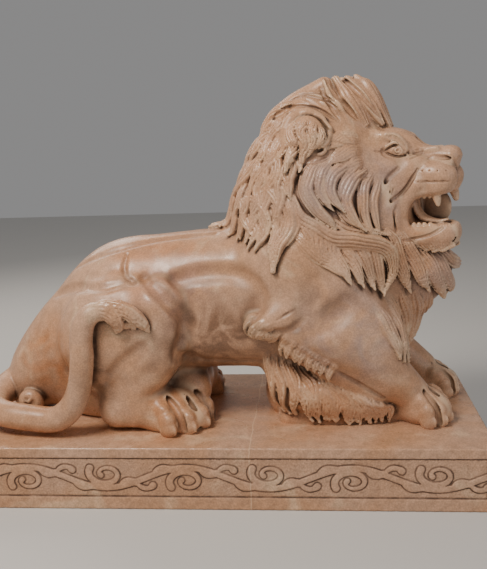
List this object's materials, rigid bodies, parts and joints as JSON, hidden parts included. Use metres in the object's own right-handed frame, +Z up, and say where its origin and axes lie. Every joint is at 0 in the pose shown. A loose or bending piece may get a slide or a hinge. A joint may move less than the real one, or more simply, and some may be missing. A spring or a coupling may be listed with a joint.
{
  "type": "marble lion statue",
  "caption": "Roaring lion lying on a low oblong plinth with a scroll frieze, carved from one block of pink-tan marble.",
  "frame": {"origin": "middle of the plinth's underside", "axes": "+X is the way the lion lies, +Y is its left side, +Z is up"},
  "size_m": [1.5, 0.64, 1.1525],
  "materials": {
    "marble": "hand polished pink-tan marble, weathered, with grime in the cuts"
  },
  "bodies": {
    "root": {"lion_on_plinth": "marble"}
  },
  "joints": []
}
